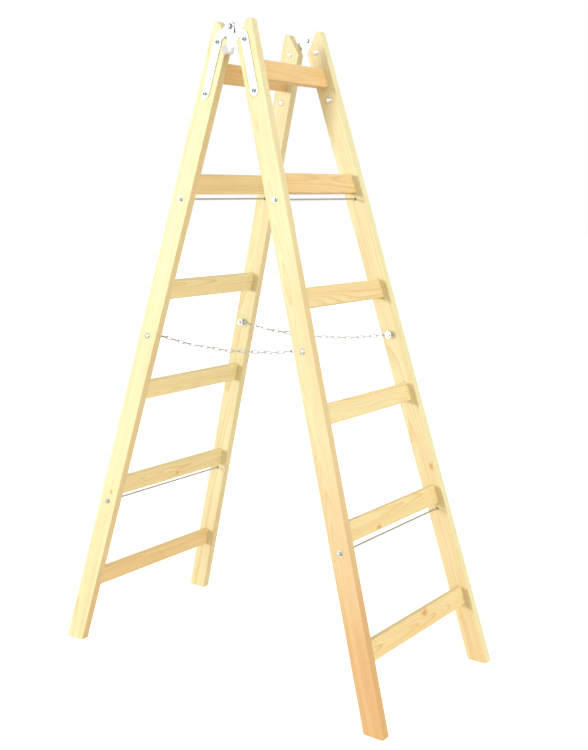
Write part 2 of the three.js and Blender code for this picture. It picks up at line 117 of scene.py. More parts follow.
# ---- Node trees ------------------------------------------------------------------------------
class Nodes:
    """Short ways to add to a node tree."""

    def __init__(self, tree):
        self.tree = tree
        self.tree.nodes.clear()

    def feed(self, socket, value):
        if isinstance(value, bpy.types.NodeSocket):
            self.tree.links.new(value, socket)
        else:
            socket.default_value = value

    def node(self, kind, inputs=None, **settings):
        made = self.tree.nodes.new("ShaderNode" + kind)
        for key, value in settings.items():
            setattr(made, key, value)
        for key, value in (inputs or {}).items():
            self.feed(made.inputs[key], value)
        return made

    def math(self, operation, *values):
        return self.node("Math", dict(enumerate(values)), operation=operation).outputs[0]

    def add(self, value, other, times=1.0):
        """The value plus a multiple of the other."""
        return self.math("MULTIPLY_ADD", other, times, value)

    def vector(self, operation, *values):
        made = self.node("VectorMath", dict(enumerate(values)), operation=operation)
        return made.outputs["Value" if operation in ("LENGTH", "DOT_PRODUCT") else "Vector"]

    def attribute(self, name):
        return self.node("Attribute", attribute_name=name).outputs["Vector"]

    def split(self, vector):
        return self.node("SeparateXYZ", {0: vector}).outputs

    def noise(self, vector, stretch=(1, 1, 1), detail=2.0, scale=1.0):
        """Noise from 0 to 1 whose cells are one over stretch long, in metres, on each axis."""
        place = self.vector("MULTIPLY", vector, stretch)
        settings = {"Vector": place, "Scale": scale, "Detail": detail, "Roughness": 0.55}
        return self.node("TexNoise", settings).outputs["Fac"]

    def seen_directly(self):
        return self.node("LightPath").outputs["Is Camera Ray"]

    def span(self, value, low, high, to_low=0.0, to_high=1.0, smooth=False):
        settings = {"Value": value, "From Min": low, "From Max": high}
        settings.update({"To Min": to_low, "To Max": to_high})
        kind = "SMOOTHSTEP" if smooth else "LINEAR"
        return self.node("MapRange", settings, interpolation_type=kind).outputs["Result"]

    def curve(self, value, stops):
        """A curve through (place, height) stops, for values from 0 to 1."""
        made = self.node("ValToRGB", {"Fac": value})
        elements = made.color_ramp.elements
        for index, (place, height) in enumerate(stops):
            element = elements[index] if index < 2 else elements.new(place)
            element.position = place
            element.color = (height, height, height, 1)
        return made.outputs["Color"]

    def blend(self, factor, first, second, mode="MIX"):
        made = self.node("Mix", data_type="RGBA", blend_type=mode, clamp_factor=True)
        self.feed(made.inputs["Factor"], factor)
        for key, value in (("A", first), ("B", second)):
            socket = next(s for s in made.inputs if s.name == key and s.type == "RGBA")
            if not isinstance(value, bpy.types.NodeSocket):
                value = (*value, 1)
            self.feed(socket, value)
        return next(s for s in made.outputs if s.type == "RGBA")

    def stain(self, factor, colour, tint):
        """The colour, darkened by a tint as far as the factor says."""
        return self.blend(factor, colour, self.blend(1.0, colour, tint, "MULTIPLY"))


class Finish(Nodes):
    """A material with one shader."""

    def __init__(self, name):
        self.material = bpy.data.materials.new(name)
        self.material.use_nodes = True
        super().__init__(self.material.node_tree)
        self.shader = self.node("BsdfPrincipled")
        output = self.node("OutputMaterial")
        self.tree.links.new(self.shader.outputs[0], output.inputs["Surface"])

    def finish(self, colour, roughness, height, depth, metallic=0.0):
        """Sets the shader's inputs; height is bumped by depth metres."""
        self.feed(self.shader.inputs["Base Color"], colour)
        self.feed(self.shader.inputs["Roughness"], roughness)
        self.feed(self.shader.inputs["Metallic"], metallic)
        bump = self.node("Bump", {"Height": height, "Distance": depth, "Strength": 1.0})
        self.tree.links.new(bump.outputs[0], self.shader.inputs["Normal"])
        return self.material


# ---- Wood ------------------------------------------------------------------------------------
RING_WIDTH = 2.6 * MM
HEART_RISE = 1.9  # how steeply a board's low tone gives way to its high tone on the way up
KNOT_REACH = 3.2  # knot radii over which the grain bends round a knot
KNOT_BEND = 4.2 * MM  # how far the rings beside a knot are pushed aside
KNOT_SHAPE = (0.55, 1.0, 0.12)  # a knot is long down the board and runs from face to face
KNOT_RAGGED = 1.6 * MM
KNOT_COLOURS = ((0.62, 0.34, 0.13), (0.47, 0.21, 0.07))
KNOT_HALO = (0.90, 0.70, 0.48)
RING_WANDER = 20 * MM
RING_RIPPLE = 1.6 * MM
# The colour across one ring, from its early wood to its late wood.
RING_BAND = ((0.0, 0.25), (0.08, 0.02), (0.42, 0.06), (0.78, 0.62), (0.93, 1.0), (1.0, 0.3))
BROAD_TINT = (0.94, 0.86, 0.74)
FIBRE_TINT = (0.90, 0.80, 0.66)
CANAL_TINT = (0.72, 0.52, 0.34)
END_TINT = (0.82, 0.66, 0.50)
GRAIN_DEPTH = 0.12 * MM


def pine(name, early, late, heart):
    """Clear-varnished pine. Each board carries four attributes: grain, its place in the log
    (along the pith, and across from it both ways, in metres); knot, the place from its knot's
    middle; board, (knot radius, share of the way down the board, end grain); and the last, the
    board's tone as a share of the heartwood tint at its low and high ends, which is partly
    painted shade on the darker rungs, and painted shade, or painted light where below 0, on narrow
    faces."""
    f = Finish(name)
    grain = f.attribute("grain")
    across = f.split(grain)
    knot_radius, down, end_grain = f.split(f.attribute("board"))
    low_tone, high_tone, _ = f.split(f.attribute("heart"))
    change = f.math("SUBTRACT", low_tone, high_tone)
    tone = f.add(high_tone, f.math("POWER", down, HEART_RISE), change)

    # A knot runs from face to face; round it the rings bend away.
    knot = f.vector("MULTIPLY", f.attribute("knot"), KNOT_SHAPE)
    ragged = f.noise(f.attribute("knot"), (260, 260, 40), 3.0)
    from_knot = f.add(f.vector("LENGTH", knot), ragged, KNOT_RAGGED)
    knot_share = f.math("DIVIDE", from_knot, knot_radius)
    bend = f.span(knot_share, 0.8, KNOT_REACH, KNOT_BEND, 0.0, smooth=True)

    # Growth rings: distance from the pith, wandering slowly along the log.
    off_pith = f.node("CombineXYZ", {1: across[1], 2: across[2]}).outputs[0]
    radius = f.vector("LENGTH", off_pith)
    radius = f.add(radius, f.noise(grain, (1.6, 9, 9), 2.0), RING_WANDER)
    radius = f.add(radius, f.noise(grain, (13, 60, 60), 3.0), RING_RIPPLE)
    radius = f.add(radius, bend)
    uneven_place = f.node("CombineXYZ", {0: f.math("MULTIPLY", radius, 55.0)}).outputs[0]
    uneven = f.noise(uneven_place, detail=1.0)
    turns = f.add(f.math("DIVIDE", radius, RING_WIDTH), uneven, 5.0)
    band = f.curve(f.math("FRACT", turns), RING_BAND)
    number = {"W": f.math("FLOOR", turns)}
    weight = f.node("TexWhiteNoise", number, noise_dimensions="1D").outputs["Value"]
    band = f.math("MULTIPLY", band, f.span(weight, 0.0, 1.0, 0.35, 1.0))

    # Fibres, resin canals and broad soft bands, all drawn out along the board.
    fibre = f.noise(grain, (24, 1700, 1700), 3.0)
    canals = f.noise(grain, (75, 2400, 2400), 1.0)
    canal = f.span(canals, 0.70, 0.78, 0.0, 1.0, smooth=True)
    broad = f.noise(grain, (0.9, 46, 46), 2.0)
    patch = f.noise(grain, (3.0, 16, 16), 2.0)

    wood = f.blend(f.math("MULTIPLY", band, 0.85), early, late)
    # Darkened towards the heartwood tint by the board's tone. This is partly painted shade: on the
    # darker rungs, such as rear_rung_6, and on narrow faces the tone stands for shade, and below 0 on
    # narrow faces for light.
    wood = f.stain(f.add(tone, f.span(patch, 0.3, 0.7, -0.12, 0.12)), wood, heart)
    wood = f.stain(f.span(broad, 0.35, 0.68, 0.0, 0.55), wood, BROAD_TINT)
    wood = f.stain(f.span(fibre, 0.35, 0.75, 0.0, 0.5), wood, FIBRE_TINT)
    wood = f.stain(f.math("MULTIPLY", canal, 0.5), wood, CANAL_TINT)
    wood = f.stain(f.math("MULTIPLY", end_grain, 0.6), wood, END_TINT)

    # The knot itself: a dark rim, then close rings of its own.
    inside = f.span(knot_share, 0.92, 1.02, 1.0, 0.0, smooth=True)
    halo = f.span(knot_share, 1.0, 2.1, 0.65, 0.0, smooth=True)
    knot_ring = f.math("FRACT", f.math("MULTIPLY", knot_share, 4.3))
    wood = f.stain(halo, wood, KNOT_HALO)
    wood = f.blend(f.math("MULTIPLY", inside, 0.8), wood, f.blend(knot_ring, *KNOT_COLOURS))

    height = f.math("SUBTRACT", f.math("MULTIPLY", band, 0.5), f.math("MULTIPLY", fibre, 0.45))
    height = f.math("SUBTRACT", height, f.math("MULTIPLY", canal, 0.6))
    roughness = f.span(f.noise(grain, (9, 130, 130), 2.0), 0.2, 0.8, 0.36, 0.56)
    f.shader.inputs["Coat Weight"].default_value = 0.12
    f.shader.inputs["Coat Roughness"].default_value = 0.28
    return f.finish(wood, roughness, height, GRAIN_DEPTH)


# ---- Metal -----------------------------------------------------------------------------------
DULLED = (0.92, 0.94, 0.955)
MARK_DEPTH = 0.01 * MM


def zinc(name, tint, rough, drawn=(1, 1, 1)):
    """Zinc-plated steel: a bright skin, slightly cloudy, with fine marks; drawn stretches them."""
    f = Finish(name)
    place = f.node("TexCoord").outputs["Object"]
    cloud = f.noise(place, tuple(d * 70 for d in drawn), 2.0)
    marks = f.noise(place, tuple(d * 1400 for d in drawn), 2.0)
    dull = f.blend(1.0, tint, DULLED, "MULTIPLY")
    colour = f.blend(f.span(cloud, 0.3, 0.7), tint, dull)
    cloudy = f.span(cloud, 0.25, 0.75, rough - 0.03, rough + 0.04)
    roughness = f.add(cloudy, f.span(marks, 0.3, 0.7, -0.02, 0.03))
    return f.finish(colour, roughness, marks, MARK_DEPTH, metallic=1.0)


# Early wood, late wood and the heartwood tint, which the boards' tones also use for painted shade.
STRINGER_COLOURS = ((0.745, 0.735, 0.450), (0.630, 0.515, 0.225), (0.82, 0.53, 0.37))
RUNG_COLOURS = ((0.785, 0.695, 0.375), (0.650, 0.455, 0.175), (0.94, 0.74, 0.60))
STRINGER_PINE = pine("stringer_pine", *STRINGER_COLOURS)
RUNG_PINE = pine("rung_pine", *RUNG_COLOURS)
ZINC = zinc("zinc_plate", (0.86, 0.885, 0.90), 0.32)
CHAIN_ZINC = zinc("chain_zinc", (0.50, 0.51, 0.52), 0.36)
# Darker zinc for strap nuts and the hinge bolts. It is partly painted shade, standing in for the shade
# on the nuts' sides and in the gap between the hinge straps.
DARK_ZINC = zinc("dark_zinc_and_shade", (0.42, 0.47, 0.51), 0.42)
# Nearly black bare steel for the strap bolts' ends. It is partly painted shade, standing in for the
# shade in the bolt's end.
THREAD_STEEL = zinc("thread_steel", (0.13, 0.14, 0.15), 0.40)
# Dull, worn zinc for tie rod nuts and chain anchors, darkened also as painted shade for the shaded half
# of their heads.
DULL_AND_SHADE_ZINC = zinc("dull_and_shade_zinc", (0.64, 0.65, 0.64), 0.30)
BRIGHT_ROD = zinc("bright_steel", (0.60, 0.585, 0.56), 0.42, drawn=(0.04, 1, 1))


# ---- Mesh helpers ----------------------------------------------------------------------------
def shade(mesh, sharp_degrees):
    """Smooth shading, with edges sharper than the angle kept crisp."""
    mesh.polygons.foreach_set("use_smooth", [True] * len(mesh.polygons))
    mesh.set_sharp_from_angle(angle=math.radians(sharp_degrees))


def add_piece(name, mesh, materials, body, nodes=(), sharp_degrees=35):
    for material in materials:
        mesh.materials.append(material)
    shade(mesh, sharp_degrees)
    made = bpy.data.objects.new(name, mesh)
    bpy.context.scene.collection.objects.link(made)
    flat_faces = made.modifiers.new("flat_faces", "WEIGHTED_NORMAL")  # big faces shade flat
    flat_faces.keep_sharp = True
    flat_faces.weight = 100
    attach(made, body)
    if nodes:
        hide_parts(*nodes)
    return made


def paint(bm, first_face, index):
    """Gives the faces made since the first one a piece's other material."""
    bm.faces.ensure_lookup_table()
    for face in bm.faces[first_face:]:
        face.material_index = index


def to_mesh(name, bm):
    bmesh.ops.recalc_face_normals(bm, faces=bm.faces)
    mesh = bpy.data.meshes.new(name)
    bm.to_mesh(mesh)
    bm.free()
    return mesh


def cad_solid(node):
    """A CAD node's solid with its flat faces whole again."""
    bm = bmesh.new()
    bm.from_mesh(frame["nodes"][node].data)
    bmesh.ops.remove_doubles(bm, verts=bm.verts, dist=1e-6)
    bmesh.ops.dissolve_limit(bm, angle_limit=math.radians(0.4), verts=bm.verts, edges=bm.edges)
    return bm


def round_edges(bm, radius, segments, chosen, sharp_degrees=30):
    """Rounds the chosen edges that turn by more than the angle."""
    limit = math.radians(sharp_degrees)
    joined = [e for e in bm.edges if len(e.link_faces) == 2]
    edges = [e for e in joined if e.calc_face_angle() > limit and chosen(e)]
    bmesh.ops.bevel(
        bm,
        geom=edges,
        offset=radius,
        segments=segments,
        profile=0.5,
        affect="EDGES",
        clamp_overlap=False,
    )


def revolve(bm, profile, turn, segments=40):
    """Turns a closed profile of (distance along, radius) pairs round the axis of a matrix whose
    Z is the axis. A radius of 0 closes the surface at that point."""
    rings = []
    for along, radius in profile:
        if radius <= 0:
            rings.append([bm.verts.new(turn @ Vector((0, 0, along)))])
            continue
        angles = [2 * math.pi * i / segments for i in range(segments)]
        ring = [(radius * math.cos(a), radius * math.sin(a), along) for a in angles]
        rings.append([bm.verts.new(turn @ Vector(p)) for p in ring])
    bridge(bm, rings, closed=profile[0][1] > 0)


def bridge(bm, rings, closed):
    """Joins rings of vertices one after another, and the last to the first where closed."""
    pairs = list(zip(rings, rings[1:]))
    if closed:
        pairs.append((rings[-1], rings[0]))
    for first, second in pairs:
        count = max(len(first), len(second))
        for i in range(count):
            j = (i + 1) % count
            near = [first[i % len(first)], first[j % len(first)]]
            far = [second[j % len(second)], second[i % len(second)]]
            unique = list(dict.fromkeys(near + far))
            if len(unique) > 2:
                bm.faces.new(unique)


def axis_frame(origin, direction):
    """A matrix whose Z runs along the direction from the origin."""
    turn = direction.to_track_quat("Z", "Y").to_matrix().to_4x4()
    return Matrix.Translation(origin) @ turn


# ---- Fasteners, each built along +Z from its own zero ----------------------------------------
def add_nut(bm, turn, corner, bore, start, height):
    """A hexagon nut, chamfered at 30 degrees at both ends and countersunk round its bore."""
    flat = corner * math.cos(math.pi / 6)
    chamfer = (corner - 0.95 * flat) * math.tan(math.pi / 6)
    lip = 0.35 * MM
    segments = 60
    levels = [0.0, chamfer * 0.35, chamfer * 0.7, chamfer]
    levels += [height - level for level in reversed(levels)]
    rings = []

    def ring(along, radius_at):
        angles = [2 * math.pi * i / segments for i in range(segments)]
        level = Matrix.Translation((0, 0, start + along))
        around = [Vector((math.cos(a), math.sin(a), 0)) * radius_at(a) for a in angles]
        rings.append([bm.verts.new(turn @ level @ spot) for spot in around])

    def hexagon(angle):
        sector = math.pi / 3
        return flat / math.cos((angle % sector) - sector / 2)

    ring(lip, lambda a: bore)
    ring(0.0, lambda a: bore + lip)
    for level in levels:
        depth = min(level, height - level)
        cone = 0.95 * flat + depth / math.tan(math.pi / 6)
        ring(level, lambda a, cone=cone: min(hexagon(a), cone))
    ring(height, lambda a: bore + lip)
    ring(height - lip, lambda a: bore)
    bridge(bm, rings, closed=True)


def add_washer(bm, turn, radius, bore, start, height):
    edge = min(0.25 * MM, height / 3)
    profile = [
        (start + edge, bore), (start, bore + edge), (start, radius - edge), (start + edge, radius),
        (start + height - edge, radius), (start + height, radius - edge),
        (start + height, bore + edge), (start + height - edge, bore),
    ]
    revolve(bm, profile, turn, segments=48)


def thread(start, end, radius, pitch=1.0 * MM):
    """A screw's profile between two places on its axis, as (along, radius) pairs."""
    depth = 0.54 * pitch
    count = max(1, round(abs(end - start) / (pitch / 2)))
    step = (end - start) / count
    return [(start + i * step, radius - (depth if i % 2 else 0.0)) for i in range(count + 1)]


def add_threaded_end(bm, turn, radius, start, end, threaded):
    """A plain shank from start that ends in a thread of that length with a chamfered tip."""
    tip = math.copysign(0.5 * MM, end - start)
    first = end - math.copysign(threaded, end - start)
    profile = [(start, 0.0), (start, radius), *thread(first, end - tip, radius)]
    profile += [(end, radius - 0.6 * MM), (end, 0.0)]
    revolve(bm, profile, turn, segments=32)


def add_dome(bm, turn, underside, skirt):
    """A domed bolt head, bulging towards -Z, whose rim reaches a skirt beyond its underside."""
    steps = 12
    rim = 0.5 * MM
    profile = [(underside + skirt, 0.0), (underside + skirt, DOME_RADIUS - 0.1 * MM)]
    for i in range(steps + 1):
        angle = math.pi / 2 * (1 - i / steps)
        bulge = (DOME_HEIGHT - rim) * math.cos(angle)
        profile.append((underside - rim - bulge, DOME_RADIUS * math.sin(angle)))
    revolve(bm, profile, turn, segments=48)


# ---- Boards ----------------------------------------------------------------------------------
# Each board: (pith across, pith through, tilt across, tilt through), in metres and metres per
# metre, then its tone at the low end and at the high end, partly painted shade on the darker
# rungs such as rear_rung_6, and painted shade on narrow faces, painted light where below 0.
# A knot: (along, across, radius).
BOARDS = {
    "front_stringer_left": (0.018, 0.062, 0.006, 0.004, 1.12, 0.06, 0.10),
    "front_stringer_right": (-0.024, 0.055, -0.005, 0.010, 0.50, 0.28, -0.45),
    "rear_stringer_left": (0.030, 0.085, 0.003, 0.008, 0.22, 0.00, 0.42),
    "rear_stringer_right": (-0.010, 0.048, 0.008, -0.010, 0.22, 0.16, 0.12),
    "front_rung_1": (0.004, 0.017, 0.020, 0.045, 0.35, 0.30, 0.0),
    "front_rung_2": (-0.012, 0.040, 0.010, 0.020, 0.30, 0.20, 0.0),
    "front_rung_3": (0.015, 0.060, 0.006, 0.010, 0.05, 0.00, 0.0),
    "front_rung_4": (0.022, 0.050, -0.010, 0.010, 0.40, 0.35, 0.0),
    "front_rung_5": (-0.018, 0.055, 0.006, -0.012, 0.85, 0.55, 0.0),
    "front_rung_6": (0.010, 0.045, 0.012, 0.008, 0.95, 0.90, 0.0),
    "rear_rung_1": (0.026, 0.030, 0.004, 0.006, 0.68, 0.58, 0.0),
    "rear_rung_2": (0.008, 0.028, 0.014, 0.020, 0.16, 0.10, 0.0),
    "rear_rung_3": (-0.020, 0.065, 0.006, 0.010, 0.08, 0.05, 0.0),
    "rear_rung_4": (0.016, 0.040, -0.014, 0.012, 0.0, 0.0, 0.0),
    "rear_rung_5": (-0.024, 0.050, 0.008, 0.008, 0.38, 0.34, 0.0),
    "rear_rung_6": (0.012, 0.036, 0.010, -0.012, 1.00, 1.00, 0.0),
}
KNOTS = {
    "front_rung_1": (0.039, -0.015, 6.5 * MM),
    "front_rung_2": (-0.080, 0.019, 5.0 * MM),
    "rear_rung_2": (0.020, -0.006, 3.5 * MM),
    "front_stringer_right": (-0.330, 0.010, 5.0 * MM),
    "rear_stringer_left": (-0.420, -0.012, 4.0 * MM),
}
FAR_AWAY = 50.0  # where a clear board's knot lies
EDGE_ROUND = {"stringer": 1.8 * MM, "rung": 1.2 * MM}


def is_outermost(face, points):
    """Whether the whole board lies behind a face, so that it isn't the wall of a pocket or hole."""
    base = face.verts[0].co
    return max((p - base).dot(face.normal) for p in points) < 0.05 * MM


def board(node, index):
    """A planed board made from its CAD solid, with softened arrises and its place in the log."""
    kind = "stringer" if "stringer" in node else "rung"
    half = node.split("_")[0]
    bm = cad_solid(node)
    if kind == "stringer":
        side = SIDES[node.split("_")[-1]]
        along = (up(half) - AXIS_X * side * SPLAY).normalized()
        through = outward(half, side)
    else:
        along = AXIS_X.copy()
        through = inward(half)
    across = through.cross(along).normalized()
    middle = centre(node)
    points = [v.co.copy() for v in bm.verts]
    skin = {f for f in bm.faces if is_outermost(f, points)}
    round_edges(bm, EDGE_ROUND[kind], 3, lambda e: all(f in skin for f in e.link_faces))
    mesh = to_mesh(node + "_wood", bm)
    set_grain(mesh, node, index, middle, along, across, through)
    material = STRINGER_PINE if kind == "stringer" else RUNG_PINE
    return add_piece(node + "_board", mesh, [material], half + "_half", [node], sharp_degrees=40)


def set_grain(mesh, node, index, middle, along, across, through):
    pith_across, pith_through, tilt_across, tilt_through = BOARDS[node][:4]
    low_tone, high_tone, painted_edge_shade = BOARDS[node][4:]
    knot = KNOTS.get(node, (FAR_AWAY, FAR_AWAY, 4 * MM))
    spread = [(v.co - middle).dot(along) for v in mesh.vertices]
    half_length = max(spread)
    shift = 3.7 * (index + 1)  # a stretch of log of its own
    values = {"grain": [], "knot": [], "board": [], "heart": []}
    for polygon in mesh.polygons:
        end = 1.0 if abs(polygon.normal.dot(along)) > 0.6 else 0.0
        # Narrow faces take painted shade where the value is above 0, and painted light where it is below
        # 0, for how the light falls on them.
        edge_shade_share = painted_edge_shade if abs(polygon.normal.dot(across)) > 0.8 else 0.0
        for loop in polygon.loop_indices:
            offset = mesh.vertices[mesh.loops[loop].vertex_index].co - middle
            a, c, t = (offset.dot(d) for d in (along, across, through))
            down = (1 - a / half_length) / 2
            pith = (pith_across + tilt_across * a, pith_through + tilt_through * a)
            values["grain"] += [a + shift, c - pith[0], t - pith[1]]
            values["knot"] += [a - knot[0], c - knot[1], t]
            values["board"] += [knot[2], down, end]
            values["heart"] += [low_tone + edge_shade_share, high_tone + edge_shade_share, 0.0]
    for name, flat in values.items():
        mesh.attributes.new(name, "FLOAT_VECTOR", "CORNER").data.foreach_set("vector", flat)


wooden = sorted(n for n in frame["nodes"] if "stringer" in n or "_rung_" in n)
for number, node in enumerate(wooden):
    board(node, number)


# ---- Straps and bucket hook ------------------------------------------------------------------
def pressed_bar(node, body):
    """A stamped flat bar from its CAD solid, its corners rolled over."""
    bm = cad_solid(node)
    round_edges(bm, 0.55 * MM, 3, lambda edge: True, sharp_degrees=50)
    return add_piece(node + "_bar", to_mesh(node + "_bar", bm), [ZINC], body, [node], 30)


for half in HALVES:
    for side_name in SIDES:
        pressed_bar(f"{half}_hinge_strap_{side_name}", f"{half}_half")
pressed_bar("bucket_hook", "bucket_hook")


# ---- Tie rods --------------------------------------------------------------------------------
def tie_rod(half, place):
    node = f"{half}_tie_rod_{place}"
    low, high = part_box(node)
    middle = centre(node)
    reach = (high.x - low.x) / 2
    radius = M6["shank"]
    chamfer = 0.6 * MM
    threaded = 22 * MM
    right = [(reach, 0.0), (reach, radius - chamfer), *thread(reach - chamfer, reach - threaded, radius)]
    profile = [*right, *[(-along, r) for along, r in reversed(right)]]
    bm = bmesh.new()
    revolve(bm, profile, axis_frame(middle, AXIS_X), segments=32)
    add_piece(node + "_bar", to_mesh(node, bm), [BRIGHT_ROD], half + "_half", [node], 50)


def rod_nut(half, place, side_name):
    """A washer flat on the wood and a nut square to the rod."""
    side = SIDES[side_name]
    node = f"{half}_rod_nut_{place}_{side_name}"
    low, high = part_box(node)
    middle = centre(node)
    face = Vector((low.x if side > 0 else high.x, middle.y, middle.z)) - AXIS_X * side * TILT_GAP
    bm = bmesh.new()
    lean = axis_frame(face, outward(half, side))
    add_washer(bm, lean, M6["washer"], M6["shank"] + 0.4 * MM, 0.05 * MM, 1.7 * MM)
    square = axis_frame(face, AXIS_X * side)
    start = TILT_GAP + WASHER_HEIGHT["M6"]
    add_nut(bm, square, M6["nut"], M6["shank"] + 0.02 * MM, start, M6["height"])
    # Dull zinc, darkened also as painted shade for the nut's shaded side.
    add_piece(node + "_set", to_mesh(node, bm), [DULL_AND_SHADE_ZINC], half + "_half", [node], 30)


# ---- Bolts -----------------------------------------------------------------------------------
def strap_bolt(half, place, side_name):
    """A dome head inside, the nut outside on the strap."""
    side = SIDES[side_name]
    node = f"{half}_strap_bolt_{place}_{side_name}"
    turn = axis_frame(outer_point(half, side, STRAP_BOLT_DROPS[place]), outward(half, side))
    head = -STRINGER_THICKNESS - GAP
    nut_start = 2 * GAP + STRAP_THICKNESS
    bm = bmesh.new()
    add_dome(bm, turn, head, skirt=0.25 * MM)
    first = len(bm.faces)
    add_threaded_end(bm, turn, M6["shank"], head, nut_start + M6["height"] + BOLT_END, 12 * MM)
    paint(bm, first, 2)
    first = len(bm.faces)
    add_nut(bm, turn, M6["nut"], M6["shank"] + 0.02 * MM, nut_start, M6["height"])
    paint(bm, first, 1)
    # The nut's darker zinc and the nearly black thread are partly painted shade, for the shade round the
    # nut and in the bolt's end.
    metals = [ZINC, DARK_ZINC, THREAD_STEEL]
    add_piece(node + "_set", to_mesh(node, bm), metals, half + "_half", [node], 30)


def chain_anchor(half, side_name):
    """A dome head outside; inside, a washer and nut on the wood, then room for the chain's last
    link, an end washer and the end nut."""
    side = SIDES[side_name]
    node = f"{half}_chain_anchor_{side_name}"
    low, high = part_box(node)
    middle = centre(node)
    head_top = high.x if side > 0 else low.x
    face = Vector((head_top, middle.y, middle.z)) - AXIS_X * side * (DOME_HEIGHT + TILT_GAP - 0.2 * MM)
    turn = axis_frame(face, -AXIS_X * side)
    thickness = STRINGER_THICKNESS / math.cos(FACE_TILT)
    clamp_start = thickness + TILT_GAP + WASHER_HEIGHT["M6"]
    slot_start = clamp_start + M6["height"]
    slot_end = slot_start + CHAIN_SLOT
    nut_start = slot_end + END_WASHER["height"]
    end_nut_height = 4 * MM
    bore = M6["shank"] + 0.02 * MM
    bm = bmesh.new()
    add_dome(bm, turn, 0.2 * MM - TILT_GAP, skirt=1.2 * MM)
    add_threaded_end(bm, turn, M6["shank"], 0.0, nut_start + end_nut_height + BOLT_END, 25 * MM)
    inner_face = face - AXIS_X * side * thickness
    lean = axis_frame(inner_face, -outward(half, side))
    add_washer(bm, lean, M6["washer"], M6["shank"] + 0.4 * MM, 0.05 * MM, 1.7 * MM)
    add_nut(bm, turn, M6["nut"], bore, clamp_start, M6["height"])
    add_washer(bm, turn, END_WASHER["radius"], bore, slot_end, END_WASHER["height"])
    add_nut(bm, turn, M6["nut"], bore, nut_start, end_nut_height)
    # Dull zinc, darkened also as painted shade for the shaded half of the dome.
    add_piece(node + "_set", to_mesh(node, bm), [DULL_AND_SHADE_ZINC], half + "_half", [node], 30)


for half in HALVES:
    for place in ("lower", "upper"):
        tie_rod(half, place)
        for side_name in SIDES:
            rod_nut(half, place, side_name)
            strap_bolt(half, place, side_name)
    for side_name in SIDES:
        chain_anchor(half, side_name)


def hinge_bolt(side_name):
    """The hexagon head lies inside the straps, the nut and its washer outside."""
    side = SIDES[side_name]
    node = f"hinge_bolt_{side_name}"
    low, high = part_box(node)
    start = low.x if side > 0 else high.x
    length = high.x - low.x
    turn = axis_frame(Vector((start, HINGE.y, HINGE.z)), AXIS_X * side)
    bm = bmesh.new()
    add_nut(bm, turn, M8["nut"], 0.8 * MM, 0.0, M8["height"])
    add_threaded_end(bm, turn, M8["shank"], 0.4 * MM, length, 10 * MM)
    # Darker zinc, partly painted shade for the shaded gap between the hinge straps.
    add_piece(node + "_bolt", to_mesh(node, bm), [DARK_ZINC], "front_half", [node], 30)


def hinge_nut(side_name):
    side = SIDES[side_name]
    node = f"hinge_nut_{side_name}"
    low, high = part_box(node)
    start = low.x if side > 0 else high.x
    turn = axis_frame(Vector((start, HINGE.y, HINGE.z)), AXIS_X * side)
    bore = M8["shank"] + 0.02 * MM
    bm = bmesh.new()
    add_washer(bm, turn, M8["washer"], bore, 0.0, WASHER_HEIGHT["M8"])
    add_nut(bm, turn, M8["nut"], bore, WASHER_HEIGHT["M8"], M8["height"])
    # Darker zinc, partly painted shade for the shaded gap between the hinge straps.
    add_piece(node + "_set", to_mesh(node, bm), [DARK_ZINC], "front_half", [node], 30)


for side_name in SIDES:
    hinge_bolt(side_name)
    hinge_nut(side_name)


# ---- Chains ----------------------------------------------------------------------------------
def add_link(bm, turn, pitch):
    """One welded oval link, long in X and flat in the X-Y plane of the matrix."""
    wire = LINK_WIRE / 2
    bend = LINK_INNER_WIDTH / 2 + wire
    straight = pitch / 2 + wire - bend
    around = 10
    arc_steps = 10
    stations = []
    for end in (1, -1):
        for i in range(arc_steps + 1):
            angle = -math.pi / 2 + math.pi * i / arc_steps
            radial = Vector((math.cos(angle), math.sin(angle), 0)) * end
            stations.append((Vector((straight * end, 0, 0)) + radial * bend, radial))
    rings = []
    for point, radial in stations:
        ring = []
        for k in range(around):
            angle = 2 * math.pi * k / around
            spot = point + radial * wire * math.cos(angle) + Vector((0, 0, wire * math.sin(angle)))
            ring.append(bm.verts.new(turn @ spot))
        rings.append(ring)
    bridge(bm, rings, closed=True)


def joint_place(name):
    return Vector(next(j["pos_m"] for j in frame["joints"] if j["name"] == name + "_swing"))


def strand(body, start, end, first_number, count, line_x, spare=0.0, stretch=0.0):
    """Links from a pivot to the next; every other link is turned a quarter round the chain. The
    last link stops that spare length short of the pivot, and each link is stretched that much."""
    begin = Vector((line_x, start.y, start.z))
    span = Vector((line_x, end.y, end.z)) - begin
    direction = span.normalized()
    step = (span.length - spare) / count
    bm = bmesh.new()
    for i in range(count):
        middle = begin + direction * step * (i + 0.5)
        flat = (first_number + i) % 2 == 0
        normal = AXIS_X if flat else AXIS_X.cross(direction)
        side = normal.cross(direction)
        turn = Matrix((direction, side, normal)).transposed().to_4x4()
        turn.translation = middle
        add_link(bm, turn, LINK_PITCH + stretch)
    add_piece(body + "_links", to_mesh(body, bm), [CHAIN_ZINC], body, [body], 60)


